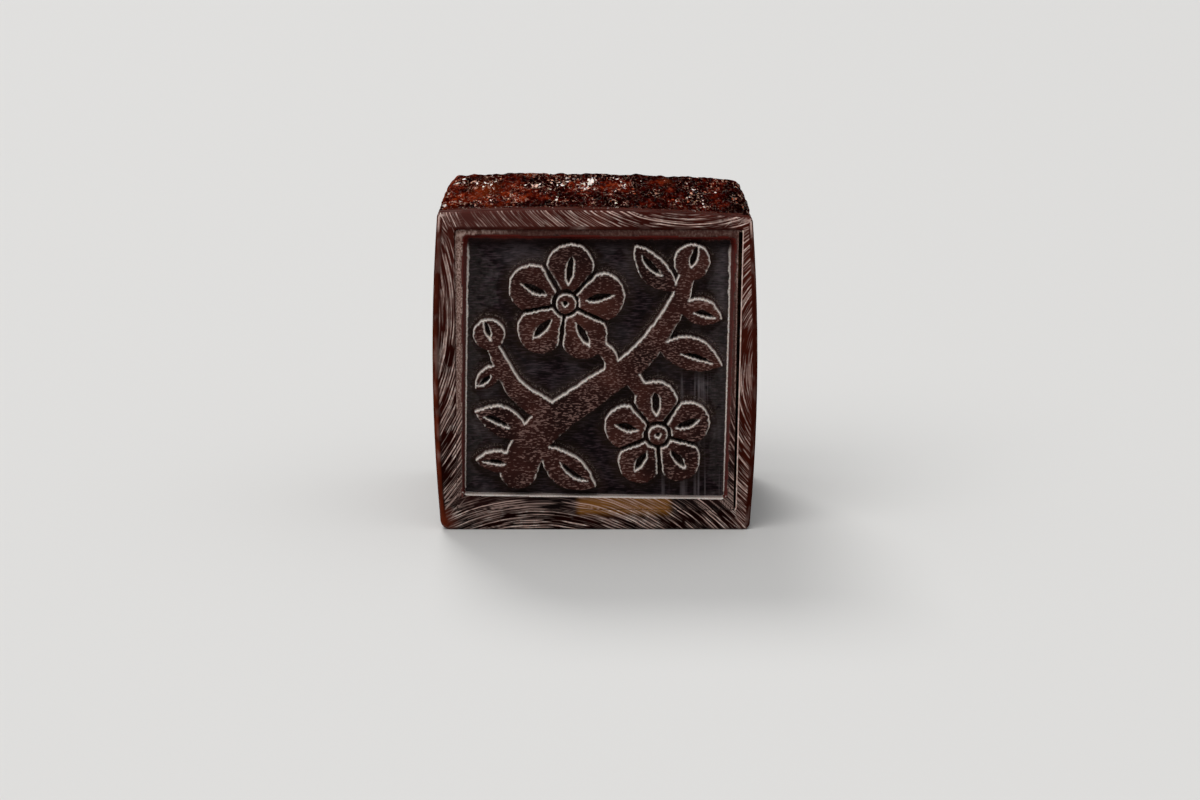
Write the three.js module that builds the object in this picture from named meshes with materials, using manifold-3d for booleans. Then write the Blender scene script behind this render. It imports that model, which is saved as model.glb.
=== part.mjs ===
// A square seal stamp lying on its side, with the stamping face upright and turned to the front.
// A rough block of dark horn carries a frame plate on its front. A die plate sits in the frame's
// pocket, and a thin bed of resin holds both to the block. The die is cut back around a raised
// spray of blossom, so the design and a narrow border stand up from a sunk field.
// Millimetres. X runs to the right, Y away from the viewer and Z up. The origin is at the middle
// of the footprint, on the surface that the seal lies on.
import * as THREE from 'three';
import { mergeVertices } from 'three/addons/utils/BufferGeometryUtils.js';
import Module from 'manifold-3d';

// Overall size
const FACE_WIDTH = 30;
const FACE_HEIGHT = 30;
const SEAL_DEPTH = 25;

// Outline of the face: the sides swell a little, and the top slopes down to the right
const SIDE_SWELL = 0.55;
const TOP_LEFT_DROP = 0.2;
const TOP_RIGHT_DROP = 0.7;
const TOP_SWELL = 0.41;
const CORNER_TOP = 0.5;
const CORNER_BOTTOM_LEFT = 1.1;
const CORNER_BOTTOM_RIGHT = 0.7;

// Block behind the face
const BLOCK_FLARE = 0.3;
const BLOCK_BACK_ROUND = 0.9;
const BLOCK_SETBACK = 0.15;
const BLOCK_SHOULDER = 0.6;

// Frame plate and the rails left around its pocket
const FRAME_THICKNESS = 2;
const FRAME_ARRIS = 0.25;
const RAIL_LEFT = 2.3;
const RAIL_RIGHT = 1.7;
const RAIL_TOP = 1.9;
const RAIL_BOTTOM = 1.9;
const POCKET_CORNER = 0.3;

// Resin bed between the block and the plates on its front
const BED_THICKNESS = 0.3;
const BED_SETBACK = 0.45;

// Die plate
const DIE_CLEARANCE = 0.12;
const DIE_SINK = 0.2;
const BORDER_WIDTH = 0.6;
const FIELD_DEPTH = 1.1;
const FIELD_DRAFT = 0.3;
const FIELD_CORNER = 0.35;
const RELIEF_DRAFT = 0.16;

// Raised design
const PETAL_COUNT = 5;
const PETAL_ROUND = 0.39;
const BOSS_RADIUS = 0.85;
const BOSS_HOLE_RADIUS = 0.3;
const LEAF_VEIN_WIDTH = 0.6;
const PETAL_EYE_WIDTH = 0.8;
const BUD_SLIT_WIDTH = 0.6;
const GROOVE_WIDTH = 0.5;
const GROOVE_DEPTH = 0.8;

// Where a leaf is full, and where its vein and a petal's eye run, as shares of the length
const LEAF_FULL_FROM = 0.28;
const LEAF_FULL_TO = 0.7;
const VEIN_FROM = 0.34;
const VEIN_TO = 0.84;
const VEIN_BEND = 0.6;
const EYE_TO = 0.82;
const SLIT_FROM = -0.4;

// Steps in which the curves are drawn
const BRANCH_STEPS = 22;
const BRANCH_END_STEPS = 8;
const CURVE_STEPS = 11;
const OUTLINE_POINTS = 96;
const BACK_ROUND_STEPS = 5;

const faceY = -SEAL_DEPTH / 2;
const frameBackY = faceY + FRAME_THICKNESS;
const blockFrontY = frameBackY + BED_THICKNESS;
const blockBackY = SEAL_DEPTH / 2;
const dieFrontY = faceY + DIE_SINK;
const fieldY = dieFrontY + FIELD_DEPTH;

const pocket = {
  left: -FACE_WIDTH / 2 + RAIL_LEFT,
  right: FACE_WIDTH / 2 - RAIL_RIGHT,
  bottom: RAIL_BOTTOM,
  top: FACE_HEIGHT - RAIL_TOP,
};
const die = grown(pocket, -DIE_CLEARANCE);
const fieldMouth = grown(die, -BORDER_WIDTH);
const field = grown(fieldMouth, -FIELD_DRAFT);

const wasm = await Module();
wasm.setup();

// A rectangle given by its four sides, made larger on every side by the amount.
function grown(box, amount) {
  return {
    left: box.left - amount,
    right: box.right + amount,
    bottom: box.bottom - amount,
    top: box.top + amount,
  };
}

// A closed geometry as a solid that can be joined and cut.
function solidOf(geometry) {
  const bare = geometry.clone();
  bare.deleteAttribute('normal');
  bare.deleteAttribute('uv');
  const merged = mergeVertices(bare, 1e-4);
  const vertProperties = new Float32Array(merged.getAttribute('position').array);
  const triVerts = new Uint32Array(merged.index.array);
  return new wasm.Manifold(new wasm.Mesh({ numProp: 3, vertProperties, triVerts }));
}

// A solid as a three.js geometry.
function geometryOf(solid) {
  const mesh = solid.getMesh();
  const geometry = new THREE.BufferGeometry();
  geometry.setAttribute('position', new THREE.BufferAttribute(mesh.vertProperties, 3));
  geometry.setIndex(new THREE.BufferAttribute(mesh.triVerts, 1));
  geometry.computeVertexNormals();
  return geometry;
}

// Stands a geometry that was extruded along +Z upright, so that its far end faces the front at
// frontY and its own X and Y become X and Z.
function facingFront(geometry, length, frontY) {
  geometry.rotateX(Math.PI / 2);
  geometry.translate(0, frontY + length, 0);
  return geometry;
}

// A straight prism of the shape between two depths.
function prism(shape, frontY, backY) {
  const length = backY - frontY;
  const options = { depth: length, bevelEnabled: false, curveSegments: CURVE_STEPS };
  return facingFront(new THREE.ExtrudeGeometry(shape, options), length, frontY);
}

// A rectangle with rounded corners.
function roundedRectangle(box, radius) {
  const shape = new THREE.Shape();
  shape.moveTo(box.left + radius, box.bottom);
  shape.lineTo(box.right - radius, box.bottom);
  shape.absarc(box.right - radius, box.bottom + radius, radius, -Math.PI / 2, 0);
  shape.lineTo(box.right, box.top - radius);
  shape.absarc(box.right - radius, box.top - radius, radius, 0, Math.PI / 2);
  shape.lineTo(box.left + radius, box.top);
  shape.absarc(box.left + radius, box.top - radius, radius, Math.PI / 2, Math.PI);
  shape.lineTo(box.left, box.bottom + radius);
  shape.absarc(box.left + radius, box.bottom + radius, radius, Math.PI, 1.5 * Math.PI);
  return shape;
}

// The hand-shaped outline of the face. Each side is a shallow curve between two rounded corners,
// and the bottom side is straight because the seal lies on it. A corner's swell moves the middle
// of the side that follows it, and the side's control point lies twice as far out.
function faceOutline() {
  const side = FACE_WIDTH / 2 - SIDE_SWELL;
  const leftTop = FACE_HEIGHT - TOP_LEFT_DROP;
  const rightTop = FACE_HEIGHT - TOP_RIGHT_DROP;
  const corners = [
    { at: new THREE.Vector2(-side, 0), radius: CORNER_BOTTOM_LEFT, swell: [0, 0] },
    { at: new THREE.Vector2(side, 0), radius: CORNER_BOTTOM_RIGHT, swell: [SIDE_SWELL, 0] },
    { at: new THREE.Vector2(side, rightTop), radius: CORNER_TOP, swell: [0, TOP_SWELL] },
    { at: new THREE.Vector2(-side, leftTop), radius: CORNER_TOP, swell: [-SIDE_SWELL, 0] },
  ];
  const shape = new THREE.Shape();
  shape.moveTo(-side + CORNER_BOTTOM_LEFT, 0);
  corners.forEach((corner, i) => {
    const next = corners[(i + 1) % corners.length];
    const along = next.at.clone().sub(corner.at).normalize();
    const start = corner.at.clone().addScaledVector(along, corner.radius);
    const end = next.at.clone().addScaledVector(along, -next.radius);
    const control = start.clone().lerp(end, 0.5);
    control.add(new THREE.Vector2(...corner.swell).multiplyScalar(2));
    const turnEnd = next.at.clone().addScaledVector(directionAfter(corners, i + 1), next.radius);
    shape.quadraticCurveTo(control.x, control.y, end.x, end.y);
    shape.quadraticCurveTo(next.at.x, next.at.y, turnEnd.x, turnEnd.y);
  });
  return shape;
}

// The direction of the side that leaves a corner, counted round the outline.
function directionAfter(corners, index) {
  const from = corners[index % corners.length].at;
  const to = corners[(index + 1) % corners.length].at;
  return to.clone().sub(from).normalize();
}

// The face outline drawn in on every side but the bottom, which is lifted separately.
function insetRing(points, inset, lift) {
  const narrow = (FACE_WIDTH / 2 - inset) / (FACE_WIDTH / 2);
  const lower = (FACE_HEIGHT - inset - lift) / FACE_HEIGHT;
  return points.map((point) => new THREE.Vector2(point.x * narrow, lift + point.y * lower));
}

// A closed solid through rings of equal point counts, from the front one to the back one.
function loft(rings) {
  const count = rings[0].points.length;
  const positions = [];
  const triangles = [];
  rings.forEach((ring) => ring.points.forEach((point) => positions.push(point.x, ring.y, point.y)));
  for (let ring = 0; ring < rings.length - 1; ring += 1) {
    for (let i = 0; i < count; i += 1) {
      const front = ring * count;
      const back = front + count;
      const next = (i + 1) % count;
      triangles.push(front + i, back + i, front + next);
      triangles.push(front + next, back + i, back + next);
    }
  }
  const last = (rings.length - 1) * count;
  THREE.ShapeUtils.triangulateShape(rings[0].points, []).forEach(([a, b, c]) => {
    triangles.push(a, b, c);
    triangles.push(last + a, last + c, last + b);
  });
  const geometry = new THREE.BufferGeometry();
  geometry.setAttribute('position', new THREE.Float32BufferAttribute(positions, 3));
  geometry.setIndex(triangles);
  geometry.computeVertexNormals();
  return geometry;
}

// The block has a set-back front edge with a short shoulder. From there it widens a little towards
// the back, where its edge is rounded. It rests flat on its underside.
function sealBlock() {
  const outline = faceOutline().getSpacedPoints(OUTLINE_POINTS).slice(0, OUTLINE_POINTS);
  const rings = [
    { y: blockFrontY, points: insetRing(outline, BLOCK_SETBACK, 0) },
    { y: blockFrontY + BLOCK_SHOULDER, points: outline },
  ];
  for (let step = 0; step <= BACK_ROUND_STEPS; step += 1) {
    const angle = (Math.PI / 2) * (step / BACK_ROUND_STEPS);
    const drawnIn = BLOCK_BACK_ROUND * (1 - Math.cos(angle));
    const y = blockBackY - BLOCK_BACK_ROUND * (1 - Math.sin(angle));
    const inset = drawnIn - BLOCK_FLARE;
    rings.push({ y, points: insetRing(outline, inset, drawnIn) });
  }
  return loft(rings);
}

// A thin film of resin, held back from the edge so that a fine seam shows round the seal.
function resinBed() {
  const outline = faceOutline().getSpacedPoints(OUTLINE_POINTS).slice(0, OUTLINE_POINTS);
  const points = insetRing(outline, BED_SETBACK, BED_SETBACK);
  return loft([{ y: frameBackY, points }, { y: blockFrontY, points }]);
}

// The frame plate: the outer rim of the face, with a pocket right through it for the die.
function faceFrame() {
  const shape = faceOutline();
  shape.holes.push(roundedRectangle(pocket, POCKET_CORNER));
  const options = {
    depth: FRAME_THICKNESS - 2 * FRAME_ARRIS,
    bevelThickness: FRAME_ARRIS,
    bevelSize: FRAME_ARRIS,
    bevelOffset: -FRAME_ARRIS,
    bevelSegments: 2,
    curveSegments: CURVE_STEPS,
  };
  const geometry = new THREE.ExtrudeGeometry(shape, options);
  return facingFront(geometry, FRAME_THICKNESS - FRAME_ARRIS, faceY);
}

// A place on the field, from shares of its half width and half height.
function fieldPoint([across, up]) {
  const x = (field.left + field.right) / 2 + (across * (field.right - field.left)) / 2;
  const z = (field.bottom + field.top) / 2 + (up * (field.top - field.bottom)) / 2;
  return new THREE.Vector2(x, z);
}

// A stroke that follows a curve through the places and narrows from one width to the other.
function branchShape(places, startWidth, endWidth) {
  const line = new THREE.SplineCurve(places.map(fieldPoint));
  const left = [];
  const right = [];
  const half = (share) => THREE.MathUtils.lerp(startWidth, endWidth, share) / 2;
  for (let step = 0; step <= BRANCH_STEPS; step += 1) {
    const share = step / BRANCH_STEPS;
    const at = line.getPointAt(share);
    const tangent = line.getTangentAt(share);
    const side = new THREE.Vector2(-tangent.y, tangent.x).multiplyScalar(half(share));
    left.push(at.clone().add(side));
    right.push(at.clone().sub(side));
  }
  return new THREE.Shape([
    ...right,
    ...roundEnd(line.getPointAt(1), line.getTangentAt(1), half(1)),
    ...left.reverse(),
    ...roundEnd(line.getPointAt(0), line.getTangentAt(0).negate(), half(0)),
  ]);
}

// The points of a half circle that closes a stroke, from its right side round to its left.
function roundEnd(centre, outwards, radius) {
  const start = Math.atan2(outwards.y, outwards.x) - Math.PI / 2;
  const points = [];
  for (let step = 1; step < BRANCH_END_STEPS; step += 1) {
    const angle = start + (Math.PI * step) / BRANCH_END_STEPS;
    points.push(new THREE.Vector2(Math.cos(angle), Math.sin(angle)).multiplyScalar(radius).add(centre));
  }
  return points;
}

// How far a curve with both handles at one offset reaches towards it.
const HANDLE_REACH = 0.75;

// A leaf with two curved edges that meet at the base and at the tip. A bend moves both to one side.
function leafShape(base, tip, width, bend) {
  const axis = tip.clone().sub(base);
  const side = new THREE.Vector2(-axis.y, axis.x).normalize();
  const handle = (share, offset) => {
    const at = base.clone().addScaledVector(axis, share).addScaledVector(side, offset);
    return [at.x, at.y];
  };
  const reach = width / 2 / HANDLE_REACH;
  const shape = new THREE.Shape();
  shape.moveTo(base.x, base.y);
  shape.bezierCurveTo(
    ...handle(LEAF_FULL_FROM, bend - reach),
    ...handle(LEAF_FULL_TO, bend - reach),
    tip.x,
    tip.y,
  );
  shape.bezierCurveTo(
    ...handle(LEAF_FULL_TO, bend + reach),
    ...handle(LEAF_FULL_FROM, bend + reach),
    base.x,
    base.y,
  );
  return shape;
}

// A disc.
function discShape(centre, radius) {
  const shape = new THREE.Shape();
  shape.absarc(centre.x, centre.y, radius, 0, 2 * Math.PI);
  return shape;
}

// A disc with a round hole in its middle.
function ringShape(centre, outerRadius, innerRadius) {
  const shape = discShape(centre, outerRadius);
  const hole = new THREE.Path();
  hole.absarc(centre.x, centre.y, innerRadius, 0, 2 * Math.PI);
  shape.holes.push(hole);
  return shape;
}

// A straight strip from one place to another.
function stripShape(from, to, width) {
  const side = to.clone().sub(from).normalize().rotateAround(new THREE.Vector2(), Math.PI / 2);
  const half = side.multiplyScalar(width / 2);
  return new THREE.Shape([
    from.clone().sub(half),
    to.clone().sub(half),
    to.clone().add(half),
    from.clone().add(half),
  ]);
}

// The point at a distance from the centre, in a direction given in turns.
function spoke(centre, turns, distance) {
  const angle = 2 * Math.PI * turns;
  return centre.clone().add(new THREE.Vector2(Math.cos(angle), Math.sin(angle)).multiplyScalar(distance));
}

// The places of the design are shares of the field's half width and half height from its middle.
// Widths and radii are in millimetres, and a blossom's turn is in turns.
const BRANCHES = [
  {
    places: [[-0.62, -0.8], [-0.46, -0.5], [-0.06, -0.2], [0.34, 0.1], [0.6, 0.48], [0.68, 0.72]],
    widths: [3.4, 1.4],
  },
  { places: [[-0.34, -0.38], [-0.64, -0.16], [-0.8, 0.14]], widths: [2.2, 1.2] },
  { places: [[0.08, -0.1], [0.1, 0.06], [-0.02, 0.22]], widths: [1.5, 1] },
  { places: [[0.2, 0], [0.32, -0.16], [0.4, -0.3]], widths: [1.6, 1] },
];
const BLOSSOMS = [
  { place: [-0.25, 0.5], radius: 5.5, turn: 0.23 },
  { place: [0.46, -0.52], radius: 5, turn: 0.06 },
];
const LEAVES = [
  { base: [0.46, 0.16], tip: [0.95, 0.02], width: 3, bend: 0.4 },
  { base: [0.62, 0.46], tip: [0.95, 0.38], width: 2.3, bend: 0.3 },
  { base: [0.6, 0.6], tip: [0.28, 0.94], width: 2.4, bend: 0.4 },
  { base: [-0.54, -0.54], tip: [-0.95, -0.34], width: 2.7, bend: -0.4 },
  { base: [-0.6, -0.76], tip: [-0.95, -0.72], width: 2, bend: -0.2 },
  { base: [-0.44, -0.62], tip: [-0.02, -0.93], width: 3, bend: -0.5 },
  { base: [-0.76, 0.02], tip: [-0.95, -0.16], width: 1.6, bend: 0.1 },
];
const BUDS = [
  { place: [-0.84, 0.26], radius: 1.4, turn: 0.3 },
  { place: [0.72, 0.82], radius: 1.6, turn: 0.2 },
];

// The shapes that stand up from the field.
function raisedShapes() {
  const branches = BRANCHES.map(({ places, widths }) => branchShape(places, ...widths));
  const leaves = LEAVES.map(({ base, tip, width, bend }) => {
    return leafShape(fieldPoint(base), fieldPoint(tip), width, bend);
  });
  const buds = BUDS.map(({ place, radius }) => discShape(fieldPoint(place), radius));
  const petals = BLOSSOMS.flatMap(({ place, radius, turn }) => {
    const centre = fieldPoint(place);
    const lobes = [discShape(centre, radius * (1 - PETAL_ROUND))];
    for (let petal = 0; petal < PETAL_COUNT; petal += 1) {
      const lobeCentre = spoke(centre, turn + petal / PETAL_COUNT, radius * (1 - PETAL_ROUND));
      lobes.push(discShape(lobeCentre, radius * PETAL_ROUND));
    }
    return lobes;
  });
  return [...branches, ...leaves, ...buds, ...petals];
}

// The shapes that are cut into the raised design: leaf veins, bud slits, and on each blossom the
// grooves between its petals, the ring round its boss, the boss's hole and an eye in each petal.
function grooveShapes() {
  const veins = LEAVES.map(({ base, tip, bend }) => {
    const from = fieldPoint(base).lerp(fieldPoint(tip), VEIN_FROM);
    const to = fieldPoint(base).lerp(fieldPoint(tip), VEIN_TO);
    return leafShape(from, to, LEAF_VEIN_WIDTH, bend * VEIN_BEND);
  });
  const slits = BUDS.map(({ place, radius, turn }) => {
    const centre = fieldPoint(place);
    const slitStart = spoke(centre, turn, radius * SLIT_FROM);
    return leafShape(slitStart, spoke(centre, turn, radius), BUD_SLIT_WIDTH, 0);
  });
  const blossomCuts = BLOSSOMS.flatMap(({ place, radius, turn }) => {
    const centre = fieldPoint(place);
    const ringRadius = BOSS_RADIUS + GROOVE_WIDTH;
    const cuts = [ringShape(centre, ringRadius, BOSS_RADIUS), discShape(centre, BOSS_HOLE_RADIUS)];
    for (let petal = 0; petal < PETAL_COUNT; petal += 1) {
      const middle = turn + petal / PETAL_COUNT;
      const between = middle + 0.5 / PETAL_COUNT;
      const grooveStart = spoke(centre, between, (ringRadius + BOSS_RADIUS) / 2);
      cuts.push(stripShape(grooveStart, spoke(centre, between, radius), GROOVE_WIDTH));
      const eyeStart = spoke(centre, middle, ringRadius + GROOVE_WIDTH);
      cuts.push(leafShape(eyeStart, spoke(centre, middle, radius * EYE_TO), PETAL_EYE_WIDTH, 0));
    }
    return cuts;
  });
  return [...veins, ...slits, ...blossomCuts];
}

// A shape as a solid that stands up from the field with sloping walls. Its foot runs into the plate.
function raised(shape) {
  const options = {
    depth: FIELD_DRAFT,
    bevelThickness: FIELD_DEPTH,
    bevelSize: RELIEF_DRAFT,
    bevelSegments: 1,
    curveSegments: CURVE_STEPS,
  };
  const length = FIELD_DRAFT + FIELD_DEPTH;
  return solidOf(facingFront(new THREE.ExtrudeGeometry(shape, options), length, dieFrontY));
}

// The raised design, joined and with its grooves cut.
function design() {
  const body = raisedShapes().map(raised).reduce((whole, piece) => whole.add(piece));
  const cutters = grooveShapes().map((shape) => solidOf(prism(shape, faceY, dieFrontY + GROOVE_DEPTH)));
  return cutters.reduce((whole, cutter) => whole.subtract(cutter), body);
}

// The die plate. The field is cut away around the design, which leaves it and the border standing.
function engravedDie() {
  const blank = solidOf(prism(roundedRectangle(die, POCKET_CORNER), dieFrontY, frameBackY));
  const mouth = roundedRectangle(fieldMouth, FIELD_CORNER + FIELD_DRAFT).getPoints(CURVE_STEPS);
  const floor = roundedRectangle(field, FIELD_CORNER).getPoints(CURVE_STEPS);
  const rings = [
    { y: faceY, points: mouth },
    { y: dieFrontY, points: mouth },
    { y: fieldY, points: floor },
  ];
  const cut = solidOf(loft(rings)).subtract(design());
  return geometryOf(blank.subtract(cut));
}

// Dark horn, dull where it was sanded and glossy where it was left rough.
const glossyHorn = new THREE.MeshStandardMaterial({ color: 0x451a14, roughness: 0.28, metalness: 0 });
const sandedHorn = new THREE.MeshStandardMaterial({ color: 0x563530, roughness: 0.55, metalness: 0 });
const engravedHorn = new THREE.MeshStandardMaterial({ color: 0x3a2422, roughness: 0.5, metalness: 0 });
const amberResin = new THREE.MeshStandardMaterial({ color: 0x6b3d1c, roughness: 0.3, metalness: 0 });

function piece(name, geometry, material) {
  const mesh = new THREE.Mesh(geometry, material);
  mesh.name = name;
  return mesh;
}

const seal = new THREE.Group();
seal.add(piece('seal_block', sealBlock(), glossyHorn));
seal.add(piece('resin_bed', resinBed(), amberResin));
seal.add(piece('face_frame', faceFrame(), sandedHorn));
seal.add(piece('engraved_die', engravedDie(), engravedHorn));

export default seal;
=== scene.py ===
# A square hand seal of dark horn, lying on its side on a pale table with its face to the front.
# Metres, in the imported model's own frame: X to the right, Y away from the camera, Z up.
import math

import bmesh
import bpy
import numpy as np
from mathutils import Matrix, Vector, geometry, kdtree


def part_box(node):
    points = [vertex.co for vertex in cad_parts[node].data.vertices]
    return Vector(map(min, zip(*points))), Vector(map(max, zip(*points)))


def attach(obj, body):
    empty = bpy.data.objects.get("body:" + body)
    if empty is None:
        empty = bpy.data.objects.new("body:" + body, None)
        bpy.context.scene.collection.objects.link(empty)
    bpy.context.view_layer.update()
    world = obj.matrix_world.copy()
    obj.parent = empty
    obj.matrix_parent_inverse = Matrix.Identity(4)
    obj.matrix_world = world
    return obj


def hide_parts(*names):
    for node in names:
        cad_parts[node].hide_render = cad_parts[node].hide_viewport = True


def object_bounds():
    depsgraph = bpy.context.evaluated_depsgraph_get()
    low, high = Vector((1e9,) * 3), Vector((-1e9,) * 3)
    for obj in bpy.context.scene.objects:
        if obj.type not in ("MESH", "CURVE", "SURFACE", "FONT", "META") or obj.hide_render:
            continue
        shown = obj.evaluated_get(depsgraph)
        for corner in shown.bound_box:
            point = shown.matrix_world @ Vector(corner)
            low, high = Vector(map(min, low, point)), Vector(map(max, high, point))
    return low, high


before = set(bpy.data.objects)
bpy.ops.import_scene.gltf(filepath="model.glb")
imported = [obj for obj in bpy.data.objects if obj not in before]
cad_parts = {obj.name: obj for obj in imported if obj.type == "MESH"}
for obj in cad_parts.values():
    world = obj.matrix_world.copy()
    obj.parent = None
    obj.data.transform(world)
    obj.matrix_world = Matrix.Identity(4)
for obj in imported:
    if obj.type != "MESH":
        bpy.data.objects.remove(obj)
cad_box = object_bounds()
scene = bpy.context.scene

# Camera
# A long lens from in front and a little above, a hair to the right of the seal's middle.
face_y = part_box("face_frame")[0].y
camera_distance = 0.2718
camera_height = 0.0691
camera_shift_right = 0.00046
camera_pitch = math.radians(11.79)
camera_data = bpy.data.cameras.new("camera")
camera_data.sensor_width = 36
camera_data.lens = 90.15
camera = bpy.data.objects.new("camera", camera_data)
camera.location = (camera_shift_right, face_y - camera_distance, camera_height)
camera.rotation_euler = (math.pi / 2 - camera_pitch, 0, 0)
scene.collection.objects.link(camera)
scene.camera = camera


# Seal block
# The body of the seal, sawn from the solid tip of a dark horn and roughed with a rasp, so that it
# is lumpy and glossy all over. The frame and the die are stuck to its front.

def add_node(tree, kind, inputs=(), **settings):
    """A node with its settings made and its inputs set, or linked where the value is a socket."""
    made = tree.nodes.new(kind)
    for name, value in settings.items():
        setattr(made, name, value)
    for name, value in dict(inputs).items():
        if isinstance(value, bpy.types.NodeSocket):
            tree.links.new(value, made.inputs[name])
        else:
            made.inputs[name].default_value = value
    return made


def math_node(tree, operation, a, b=0.0):
    """The result of a Math node on two values."""
    return add_node(tree, "ShaderNodeMath", {0: a, 1: b}, operation=operation).outputs[0]


def product(tree, *values):
    """All the values multiplied together."""
    result = values[0]
    for value in values[1:]:
        result = math_node(tree, "MULTIPLY", result, value)
    return result


def total(tree, a, b):
    """Two values added together."""
    return math_node(tree, "ADD", a, b)


def vector_node(tree, operation, inputs, output="Vector"):
    """The result of a Vector Math node on its inputs."""
    return add_node(tree, "ShaderNodeVectorMath", inputs, operation=operation).outputs[output]


def axes_of(tree, vector):
    """The X, Y and Z of a vector, by name."""
    return add_node(tree, "ShaderNodeSeparateXYZ", {0: vector}).outputs


def start_material(name, **surface):
    """A new material with its shader's fixed values set. Gives its tree, shader and coordinates."""
    material = bpy.data.materials.new(name)
    material.use_nodes = True
    tree = material.node_tree
    shader = tree.nodes["Principled BSDF"]
    for socket, value in surface.items():
        shader.inputs[socket.replace("_", " ")].default_value = value
    place = add_node(tree, "ShaderNodeTexCoord").outputs["Object"]
    return material, tree, shader, place


def noise_node(tree, place, size, detail=2.0, stretch=(1, 1, 1), seed=0.0):
    """A noise with patches of about the size in metres, wider along the axes with a larger stretch."""
    scale = tuple(1 / (size * s) for s in stretch)
    mapping = {"Vector": place, "Scale": scale, "Location": (seed,) * 3}
    spot = add_node(tree, "ShaderNodeMapping", mapping).outputs[0]
    inputs = {"Vector": spot, "Scale": 1.0, "Detail": detail}
    return add_node(tree, "ShaderNodeTexNoise", inputs).outputs["Fac"]


def ramp_node(tree, factor, stops):
    """A colour ramp through stops of (place, (red, green, blue))."""
    ramp = add_node(tree, "ShaderNodeValToRGB", {"Fac": factor})
    elements = ramp.color_ramp.elements
    while len(elements) < len(stops):
        elements.new(0.5)
    for element, (at, colour) in zip(elements, stops):
        element.position = at
        element.color = (*colour, 1)
    return ramp.outputs["Color"]


def mix_node(tree, factor, first, second):
    """Two colours mixed by a factor. A plain colour is (red, green, blue)."""
    colours = {6: first, 7: second}
    for key, value in colours.items():
        if isinstance(value, tuple):
            colours[key] = (*value, 1)
    return add_node(tree, "ShaderNodeMix", {0: factor, **colours}, data_type="RGBA").outputs[2]


def coated(tree, colour, *coats):
    """The colour under coats of (factor, colour), each over the ones before it."""
    for factor, coat in coats:
        colour = mix_node(tree, factor, colour, coat)
    return colour


def blend_node(tree, factor, first, second):
    """Two numbers mixed by a factor."""
    inputs = {0: factor, 2: first, 3: second}
    return add_node(tree, "ShaderNodeMix", inputs, data_type="FLOAT").outputs[0]


def bump_node(tree, height, distance, normal=None):
    """A bump whose full height is the distance in metres."""
    inputs = {"Height": height, "Distance": distance}
    if normal is not None:
        inputs["Normal"] = normal
    return add_node(tree, "ShaderNodeBump", inputs).outputs["Normal"]


def map_node(tree, value, low, high, to_low=0.0, to_high=1.0, smooth=False):
    """The value moved from one range to another and kept inside it."""
    kind = "SMOOTHSTEP" if smooth else "LINEAR"
    inputs = {"Value": value, "From Min": low, "From Max": high, "To Min": to_low, "To Max": to_high}
    return add_node(tree, "ShaderNodeMapRange", inputs, interpolation_type=kind).outputs[0]


def near_spot(tree, place, centre, reach):
    """One at the centre, fading to nothing at the reach."""
    off = vector_node(tree, "DISTANCE", {0: place, 1: centre}, "Value")
    return map_node(tree, off, reach, 0.0, smooth=True)


def ridge_lines(tree, noise, width):
    """Thin winding lines where a noise crosses its middle value, from 0 to 1."""
    off = math_node(tree, "ABSOLUTE", math_node(tree, "SUBTRACT", noise, 0.5))
    return map_node(tree, off, width, 0.0)


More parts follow.
